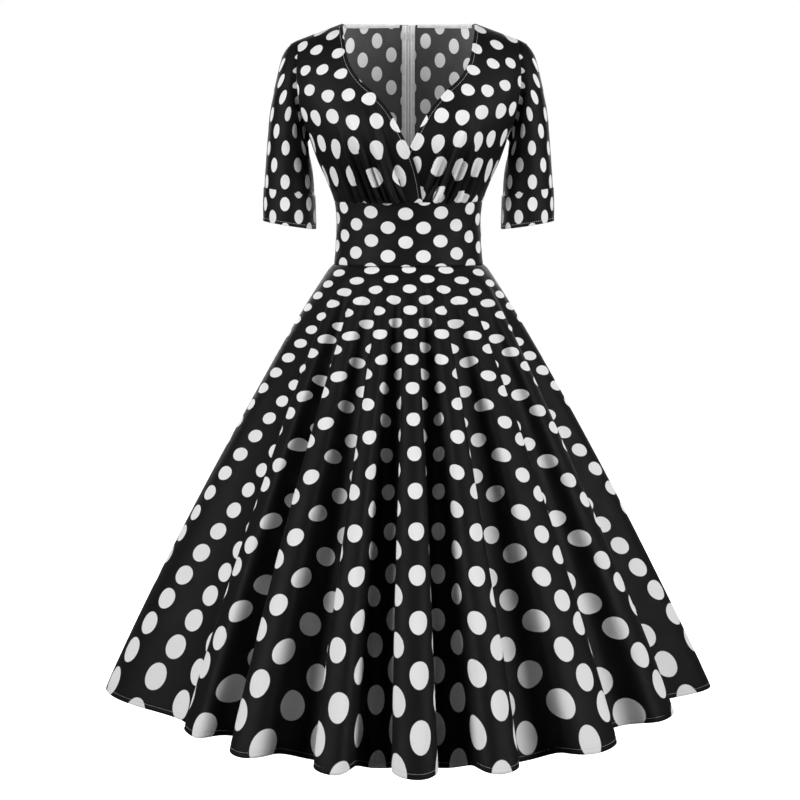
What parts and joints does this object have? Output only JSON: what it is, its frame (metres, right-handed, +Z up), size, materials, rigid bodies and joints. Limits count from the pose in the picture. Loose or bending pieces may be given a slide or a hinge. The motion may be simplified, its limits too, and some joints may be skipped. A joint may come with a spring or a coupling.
{
  "type": "a-line dress",
  "caption": "Knee-length dress: crossed V-neck bodice gathered into a wide waist band, half sleeves with turned-back cuffs, and a full skirt in deep cone folds.",
  "frame": {"origin": "midway between the wearer's shoulder neck points, where the shoulders hold the dress", "axes": "+Z up along the wearer, -Y out of the front, +X towards the wearer's left"},
  "size_m": [0.9874, 0.9098, 1.0709],
  "materials": {
    "printed_cotton": "black cotton with off-white dots",
    "zip_tape": "grey woven tape",
    "zip_metal": "satin"
  },
  "bodies": {
    "dress": {"bodice_front_right": "printed_cotton", "bodice_front_left": "printed_cotton", "bodice_back_right": "printed_cotton", "bodice_back_left": "printed_cotton", "sleeve_right": "printed_cotton", "sleeve_left": "printed_cotton", "cuff_right": "printed_cotton", "cuff_left": "printed_cotton", "midriff_front": "printed_cotton", "midriff_back_right": "printed_cotton", "midriff_back_left": "printed_cotton", "skirt_front": "printed_cotton", "skirt_back_right": "printed_cotton", "skirt_back_left": "printed_cotton", "zip_tape_right": "zip_tape", "zip_tape_left": "zip_tape", "zip_coil": "zip_tape", "zip_slider": "zip_metal", "zip_bottom_stop": "zip_metal", "back_neck_tape_right": "zip_tape", "back_neck_tape_left": "zip_tape"},
    "pull": {"zip_pull": "zip_metal"}
  },
  "joints": [
    {"name": "pull_swing", "type": "hinge", "parent": "dress", "child": "pull", "pos_m": [0, 0.08459, -0.01433], "axis": [1, 0, 0], "range_deg": [0, 150]}
  ]
}
